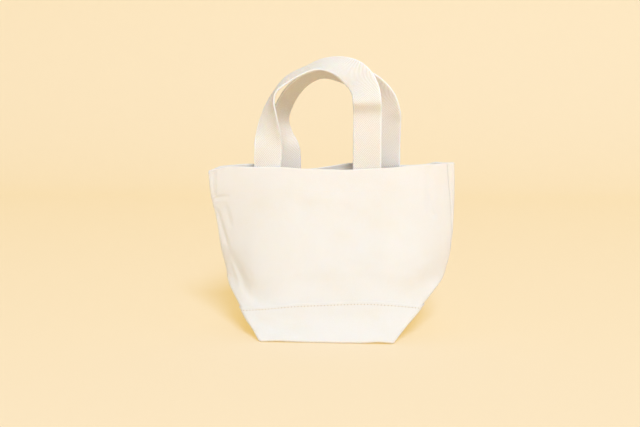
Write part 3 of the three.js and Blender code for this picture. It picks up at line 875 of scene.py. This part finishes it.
def corner_allowance(side, sign):
    """The boxed corner's raw edges, lying across the floor along its short side."""
    xs = raw_edge(CORNER_SEAM - ALLOWANCE, CORNER_SEAM)
    ys = spaced(-CORNER_REACH, CORNER_REACH, 2)
    y, x = np.meshgrid(ys, xs, indexing="ij")
    low = np.stack([sign * x, y, corner_height(x, y, sign)], axis=-1)
    rings = np.concatenate([low + [0, 0, ALLOWANCE_THICK], low[:, ::-1]], axis=1)
    piece = tube_piece(f"{side}_corner_edge", rings, both_faces(ys, xs), plain_finish)
    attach(piece, "bag")
    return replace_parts(piece, f"{side}_corner_allowance")


# The handles

def leg_places(outward, shift, spacing):
    """Places around the bag of a handle's left and right legs."""
    middle = shift if outward > 0 else 2 * QUARTER - shift
    return middle - outward * spacing / 2, middle + outward * spacing / 2


def spline_through(points, shares):
    """The centripetal curve through points, at shares of its length counted in points."""
    ends, last = run_on(points), len(points) - 1
    place = np.clip(np.asarray(shares) * last, 0, last - 1e-9)
    i = place.astype(int)
    t = (place - i)[:, None]
    p = [ends[i + k] for k in range(4)]
    steps = [np.linalg.norm(p[k + 1] - p[k], axis=1, keepdims=True) for k in range(3)]
    gaps = [np.maximum(step**0.5, 1e-4) for step in steps]
    first = (p[1] - p[0]) / gaps[0] - (p[2] - p[0]) / (gaps[0] + gaps[1]) + (p[2] - p[1]) / gaps[1]
    second = (p[2] - p[1]) / gaps[1] - (p[3] - p[1]) / (gaps[1] + gaps[2]) + (p[3] - p[2]) / gaps[2]
    return eased(p[1], p[2], first * gaps[1], second * gaps[1], t)


def unit(vectors):
    return vectors / np.linalg.norm(vectors, axis=-1, keepdims=True)


def leg_top(around, outward, widthway):
    """The middle of a leg where it leaves the rim, and the direction of its width there."""
    offsets = np.array([-0.5, 0.5]) * outward * widthway * WEBBING_WIDTH
    points = cloth(around + offsets, WALL, TAIL_MIDDLE)
    return points.mean(axis=0) + [0, 0, LOOP_GAP], unit(points[1] - points[0])


def crown_of(outward, legs):
    between = np.mean([leg[0][0] for leg in legs])
    return np.array([between - outward * CROWNS_APART / 2, -outward * CROWN_DEPTH, 0])


def handle_line(outward, tops, crown, drop, route):
    """The middle line of the free webbing and its width directions, from leg to leg."""
    (start, first), (end, last) = tops
    centre = (start + end) / 2
    half = (end[0] - start[0]) / 2
    route = np.array(route, float)
    base = lerp(centre, crown, smooth(route[:, 2])[:, None])
    base[:, 2] = centre[2]
    lean = route[:, 1] * CROWN_DEPTH + route[:, 4] * WEBBING_WIDTH / 2
    places = base + np.stack([route[:, 0] * half, lean, route[:, 2] * drop], axis=-1)
    shares = np.linspace(0, 1, LOOP_SAMPLES)
    middle = spline_through(np.vstack([start, places, end]), shares)
    width = spline_through(np.vstack([first, route[:, 3:], last]), shares)
    run = runs(np.linalg.norm(np.diff(middle, axis=0), axis=1))
    even = spaced(0, run[-1], ALONG_STEP)
    middle, width = (
        np.stack([np.interp(even, run, column) for column in values.T], axis=-1) for values in (middle, width)
    )
    along = unit(np.gradient(middle, axis=0))
    width = unit(width - (width * along).sum(axis=1, keepdims=True) * along)
    return middle, width, np.cross(along, width), even


def webbing_outline(count=9):
    """The webbing's section as (across, through), with flat faces and round, firmer edges."""
    half, radius = WEBBING_WIDTH / 2, WEBBING_THICK / 2
    flat = half - radius
    turns = np.radians([-60, -30, 0, 30, 60])
    face = np.linspace(-flat, flat, count)
    upper = np.stack([face, np.full(count, radius)], axis=-1)
    right = np.stack([flat + radius * np.cos(turns), -radius * np.sin(turns)], axis=-1)
    outline = np.concatenate([upper, right, -upper, -right])
    firm = np.abs(outline[:, 0]) > flat - SELVEDGE
    outline[:, 1] *= np.where(firm, 1.0, 0.9)
    return outline


def handle_piece(side, outward, shift, spacing, crown, drop, route):
    """One length of webbing from sewn end to sewn end, over the rim and through the free loop."""
    outline = webbing_outline()
    places = leg_places(outward, shift, spacing)
    tops = [leg_top(place, outward, way) for place, way in zip(places, (1, -1))]
    middle, width, thick, run = handle_line(outward, tops, crown, drop, route)
    loop = middle[:, None] + width[:, None] * outline[:, :1] + thick[:, None] * outline[:, 1:]
    ups = spaced(WALL - TAIL_LENGTH, WALL - LOOP_GAP, TAIL_STEP)

    def tail(place, widthway, through):
        face = np.sign(-outward * through[1])
        out = TAIL_MIDDLE + face * outline[:, 1]
        return cloth(place + outward * widthway * outline[:, 0], ups[:, None], out)

    left, right = tail(places[0], 1, thick[0]), tail(places[1], -1, thick[-1])[::-1]
    rings = np.concatenate([left, loop, right])
    length = np.concatenate([ups - WALL, run, run[-1] + WALL - ups[::-1]])
    mirrored = np.where(np.arange(len(outline)) < len(outline) / 2, 1, -1) * outline[:, 0]
    across = np.append(mirrored, mirrored[0])
    grid = np.stack(np.broadcast_arrays(across[None, :], length[:, None]), axis=-1)
    piece = tube_piece(f"{side}_webbing", rings, grid, webbing_finish)
    _, lean, height = tops[0][0]
    low, high = height - BEND_BELOW, height + BEND_ABOVE
    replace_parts(piece, f"{side}_handle", f"{side}_handle_left_end", f"{side}_handle_right_end")
    lean * MM
    low * MM
    lean * MM
    high * MM
    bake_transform(piece)
    return piece


# Sewing threads

def stitch_tree():
    """Geometry Nodes: one stitch of thread along every edge of a path, standing away from the cloth."""
    tree = bpy.data.node_groups.new("stitches_along_a_seam", "GeometryNodeTree")
    kinds = {"Geometry": "Geometry", "Thread": "Float", "Rise": "Float", "Sink": "Float", "Seed": "Int",
             "Material": "Material"}
    for label, kind in kinds.items():
        tree.interface.new_socket(label, in_out="INPUT", socket_type=f"NodeSocket{kind}")
    tree.interface.new_socket("Geometry", in_out="OUTPUT", socket_type="NodeSocketGeometry")

    def add(kind, settings=None, output=0, **inputs):
        return add_value(tree, kind, settings, output, **inputs)

    def stored(name, domain, kind, geometry, value):
        settings = {"data_type": kind, "domain": domain}
        return add("GeometryNodeStoreNamedAttribute", settings, Geometry=geometry, Name=name, Value=value)

    def read(name):
        return add("GeometryNodeInputNamedAttribute", {"data_type": "FLOAT_VECTOR"}, Name=name)

    given = add_node(tree, "NodeGroupInput").outputs
    ends = add_node(tree, "GeometryNodeInputMeshEdgeVertices").outputs
    way = add("ShaderNodeVectorMath", {"operation": "SUBTRACT"}, _0=ends["Position 2"], _1=ends["Position 1"])
    path = stored("way", "EDGE", "FLOAT_VECTOR", given["Geometry"], way)
    points = add("GeometryNodeMeshToPoints", {"mode": "EDGES"}, Mesh=path)
    along = read("way")
    length = add("ShaderNodeVectorMath", {"operation": "LENGTH"}, "Value", _0=along)
    turned = add("FunctionNodeAlignRotationToVector", {"axis": "X"}, Vector=along)
    turned = add("FunctionNodeAlignRotationToVector", {"axis": "Z", "pivot_axis": "X"}, Rotation=turned,
                 Vector=read("away"))
    thread, rise, sink = (Value(tree, given[name]) for name in ("Thread", "Rise", "Sink"))
    corners = [(-0.5, sink * -1.0), (-0.36, rise * 1.5), (0.36, rise * 1.5), (0.5, sink * -1.0)]
    start, up, down, end = [add("ShaderNodeCombineXYZ", X=x, Z=z) for x, z in corners]
    line = add("GeometryNodeCurvePrimitiveBezierSegment", {"mode": "POSITION"}, Resolution=6,
               Start=start, Start_Handle=up, End_Handle=down, End=end)
    factor = add("GeometryNodeSplineParameter", None, "Factor")
    line = stored("lay", "POINT", "FLOAT", line, factor)
    circle = add("GeometryNodeCurvePrimitiveCircle", {"mode": "RADIUS"}, Resolution=6, Radius=thread * 0.5)
    circle = stored("girth", "POINT", "FLOAT", circle, factor)
    stitch = add("GeometryNodeCurveToMesh", Curve=line, Profile_Curve=circle, Fill_Caps=True)
    wide = add("FunctionNodeRandomValue", {"data_type": "FLOAT"}, 1, _2=0.88, _3=1.12, Seed=given["Seed"])
    scale = add("ShaderNodeCombineXYZ", X=length, Y=wide, Z=wide)
    stitches = add("GeometryNodeInstanceOnPoints", Points=points, Instance=stitch, Rotation=turned,
                   Scale=scale)
    stitches = add("GeometryNodeRealizeInstances", Geometry=stitches)
    stitches = add("GeometryNodeSetShadeSmooth", Geometry=stitches)
    stitches = add("GeometryNodeSetMaterial", Geometry=stitches, Material=given["Material"])
    add_node(tree, "NodeGroupOutput", _0=stitches)
    return tree


STITCHES = stitch_tree()


def sewn_piece(name, paths, replaced, sizes):
    """Stitches along paths, each one the needle's places, the way off the cloth, and the joins."""
    path = bpy.data.meshes.new(f"{name}_path")
    points, edges = [], []
    for places, _, joins in paths:
        edges.extend((len(points) + a, len(points) + b) for a, b in joins)
        points.extend(np.asarray(places) * MM)
    path.from_pydata([tuple(p) for p in points], edges, [])
    away = path.attributes.new("away", "FLOAT_VECTOR", "POINT")
    away.data.foreach_set("vector", np.concatenate([p[1] for p in paths]).astype(np.float32).ravel())
    holder = placed(f"{name}_path", path)
    modifier = holder.modifiers.new("stitches", "NODES")
    modifier.node_group = STITCHES
    values = {key: value * MM for key, value in sizes.items()}
    values.update(Seed=STITCH_SEED, Material=thread_finish)
    for item in STITCHES.interface.items_tree:
        if item.in_out == "INPUT" and item.name in values:
            modifier[item.identifier] = values[item.name]
    bpy.context.view_layer.update()
    evaluated = holder.evaluated_get(bpy.context.evaluated_depsgraph_get())
    mesh = bpy.data.meshes.new_from_object(evaluated)
    bpy.data.objects.remove(holder)
    mesh.name = name
    piece = placed(name, mesh)
    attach(piece, "bag")
    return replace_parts(piece, *replaced)


def chain(count):
    return [(i, i + 1) for i in range(count - 1)]


def cloth_path(arounds, ups, out, outward=1, joins=None):
    arounds, ups = np.broadcast_arrays(np.asarray(arounds, float), np.asarray(ups, float))
    places = cloth(arounds, ups, out)
    away = normal_of(settled_surface, arounds, ups) * outward
    return places, away, joins or chain(len(places))


def row_on_cloth(middle, pitch):
    """Needle places of a straight row from seam to seam, one at each hole of the canvas finish."""
    reach = QUARTER - EDGE_TO_STITCH
    first = math.ceil((middle - reach) / pitch - 0.5)
    last = math.floor((middle + reach) / pitch - 0.5)
    return (np.arange(first, last + 1) + 0.5) * pitch


def panel_stitching(side, middle):
    rows = (("lap", LAP_ROW, STITCH, 0, LAP_THREAD), ("hem", HEM_ROW, HEM_STITCH, PANEL_OUT, HEM_THREAD))
    for name, up, pitch, out, sizes in rows:
        path = cloth_path(row_on_cloth(middle, pitch), up, out)
        sewn_piece(f"{side}_{name}_thread", [path], [f"{side}_{name}_stitching"], sizes)


def box_and_cross(left, right, low, high):
    """Needle places of a stitched box with a cross in it."""
    corners = [(left, low), (right, low), (right, high), (left, high), (left, low), (right, high)]
    lines = [*zip(corners, corners[1:]), ((left, high), (right, low))]
    places, joins = [], []
    for start, end in lines:
        count = max(1, round(math.dist(start, end) / BOX_STITCH))
        joins += [(len(places) + i, len(places) + i + 1) for i in range(count)]
        places += [lerp(np.array(start), np.array(end), t) for t in np.linspace(0, 1, count + 1)]
    return np.array(places), joins


def handle_stitching(side, outward, shift, spacing):
    for name, place in zip(("left", "right"), leg_places(outward, shift, spacing)):
        half = WEBBING_WIDTH / 2 - EDGE_TO_STITCH
        low, high = WALL - TAIL_LENGTH + EDGE_TO_STITCH, WALL - EDGE_TO_STITCH
        places, joins = box_and_cross(place - half, place + half, low, high)
        path = cloth_path(places[:, 0], places[:, 1], TAIL_IN, -1, joins)
        sewn_piece(f"{side}_handle_{name}_thread", [path], [f"{side}_handle_{name}_stitching"],
                   HANDLE_THREAD)


def overlock_paths(edge_line, inner_line, away):
    """Overlocking on a raw edge: bars across it, a needle row behind them and a chain on the edge."""
    count = len(edge_line)
    bars = np.concatenate([inner_line[:-1], edge_line[1:]])
    joins = [(i, count - 1 + i) for i in range(count - 1)]
    return [
        (bars, np.concatenate([away[:-1], away[1:]]), joins),
        (inner_line, away, chain(count)),
        (edge_line, away, chain(count)),
    ]


def side_overlock(side, seam):
    edge = seam - ALLOWANCE
    ups = spaced(EDGE_BEND + 4, HEM_EDGE - 1.5, OVERLOCK_STEP)
    layer = allowance_layer(ups) - ALLOWANCE_THICK
    rim, away, _ = cloth_path(edge, ups, layer + 0.2, -1)
    inner, _, _ = cloth_path(edge + OVERLOCK_REACH, ups, layer, -1)
    sewn_piece(f"{side}_seam_overlock", overlock_paths(rim, inner, away), [f"{side}_side_overlock"],
               OVERLOCK_THREAD)


def corner_overlock(side, sign):
    edge = CORNER_SEAM - ALLOWANCE
    ys = spaced(1 - CORNER_REACH, CORNER_REACH - 1, OVERLOCK_STEP)

    def line(x):
        height = corner_height(x, ys, sign, ALLOWANCE_THICK)
        return np.stack([np.full(len(ys), sign * x), ys, height], axis=-1)

    away = np.tile([0.0, 0.0, 1.0], (len(ys), 1))
    paths = overlock_paths(line(edge), line(edge + OVERLOCK_REACH), away)
    sewn_piece(f"{side}_corner_thread", paths, [f"{side}_corner_overlock"], OVERLOCK_THREAD)


# Putting the bag together

for side, middle in (("front", 0), ("back", 2 * QUARTER)):
    wall_piece(side, middle)
    panel_stitching(side, middle)
base_piece()
for side, seam in SEAMS.items():
    side_allowance(side, seam)
    side_overlock(side, seam)
for side, sign in (("right", 1), ("left", -1)):
    corner_allowance(side, sign)
    corner_overlock(side, sign)

HANDLES = {
    "front": (1, HANDLE_SHIFT, LEG_SPACING, DROP, FRONT_LOOP),
    "back": (-1, HANDLE_SHIFT + BACK_OFFSET, LEG_SPACING + BACK_SPREAD, BACK_DROP, BACK_LOOP),
}
all_legs = [
    leg_top(place, outward, 1)
    for outward, shift, spacing, _, _ in HANDLES.values()
    for place in leg_places(outward, shift, spacing)
]
for side, (outward, shift, spacing, drop, route) in HANDLES.items():
    handle_piece(side, outward, shift, spacing, crown_of(outward, all_legs), drop, route)
    handle_stitching(side, outward, shift, spacing)


# The studio

PAPER = (0.960, 0.785, 0.560, 1)
SHADE_GLOW = (0.645, 0.375, 0.035, 1)
SHADE_PAPER = (0.33, 0.44, 0.56, 1)
FLOOR_FRONT, FLOOR_BACK = 9000, 1300  # how far the paper lies flat before and behind the bag
SWEEP_RADIUS, SWEEP_TOP, SWEEP_HALF_WIDTH = 900, 4200, 5200
KEY_PLACE, KEY_AIM = (1.35, -5.9, 5.3), (0, 0, 0.1)
KEY_SIZE, KEY_WATTS, KEY_COLOR = 2.6, 452, (0.885, 0.92, 1.0)
ROOM_COLOR, ROOM_STRENGTH = (1.0, 0.965, 0.83, 1), 0.465
CAMERA_PLACE = (0.0534, -1.0186, 0.275)
CAMERA_BEARING, CAMERA_PITCH = 3.62, 7.86  # degrees that it looks to the left, and down
CAMERA_LENS = 50


def shown_to_camera(tree, output, plain, seen):
    """Ends a node tree so that the camera sees one shader and all other light meets another."""
    camera_ray = add_value(tree, "ShaderNodeLightPath", None, "Is Camera Ray")
    mixed = add_value(tree, "ShaderNodeMixShader", _0=camera_ray, _1=plain, _2=seen)
    add_node(tree, output, Surface=mixed)


def paper_material():
    """Cream background paper. To the camera its shadows turn golden, as they do in the photograph."""
    material = new_material("background_paper")
    tree = material.node_tree
    plain, pale = (add_value(tree, "ShaderNodeBsdfDiffuse", Color=color) for color in (PAPER, SHADE_PAPER))
    glow = add_value(tree, "ShaderNodeEmission", Color=SHADE_GLOW, Strength=1.0)
    seen = add_value(tree, "ShaderNodeAddShader", _0=pale, _1=glow)
    shown_to_camera(tree, "ShaderNodeOutputMaterial", plain, seen)
    return material


def background_sweep():
    """A sheet of paper under the bag that curves up behind it."""
    turns = np.radians(np.linspace(0, 90, 25))
    floor = [(-FLOOR_FRONT, 0.0), (0.0, 0.0)]
    curve = [(FLOOR_BACK + SWEEP_RADIUS * math.sin(t), SWEEP_RADIUS * (1 - math.cos(t))) for t in turns]
    profile = np.array([*floor, *curve, (FLOOR_BACK + SWEEP_RADIUS, SWEEP_TOP)])
    left, right = (np.insert(profile, 0, x, axis=1) for x in (-SWEEP_HALF_WIDTH, SWEEP_HALF_WIDTH))
    points = np.concatenate([left, right])
    c = np.arange(len(profile) - 1)
    faces = np.stack([c, c + len(profile), c + len(profile) + 1, c + 1], axis=-1)
    paper = mesh_piece("background", points, faces, points[faces][..., :2], paper_material())


def key_lamp():
    """One large soft lamp high in front of the bag, a little to its right."""
    lamp = bpy.data.lights.new("key", "AREA")
    lamp.shape, lamp.size, lamp.energy, lamp.color = "DISK", KEY_SIZE, KEY_WATTS, KEY_COLOR
    holder = placed("key", lamp)
    holder.location = KEY_PLACE
    holder.rotation_euler = (Vector(KEY_AIM) - Vector(KEY_PLACE)).to_track_quat("-Z", "Y").to_euler()


def room_light():
    """Warm light from all round. To the camera the room has the paper's colour."""
    world = bpy.data.worlds.new("room")
    world.use_nodes = True
    tree = world.node_tree
    tree.nodes.clear()
    room = add_value(tree, "ShaderNodeBackground", Color=ROOM_COLOR, Strength=ROOM_STRENGTH)
    seen = add_value(tree, "ShaderNodeBackground", Color=PAPER)
    shown_to_camera(tree, "ShaderNodeOutputWorld", room, seen)
    bpy.context.scene.world = world


def photographers_camera():
    """A 50 mm lens about a metre away, a little above the bag and to its right."""
    data = bpy.data.cameras.new("camera")
    data.lens, data.sensor_width, data.clip_end = CAMERA_LENS, 36, 20
    camera = placed("camera", data)
    turned = Euler(np.radians([90 - CAMERA_PITCH, 0, CAMERA_BEARING]))
    camera.matrix_world = Matrix.LocRotScale(Vector(CAMERA_PLACE), turned, None)
    bpy.context.scene.camera = camera


background_sweep()
key_lamp()
room_light()
photographers_camera()
bpy.context.scene.view_settings.view_transform = "Standard"
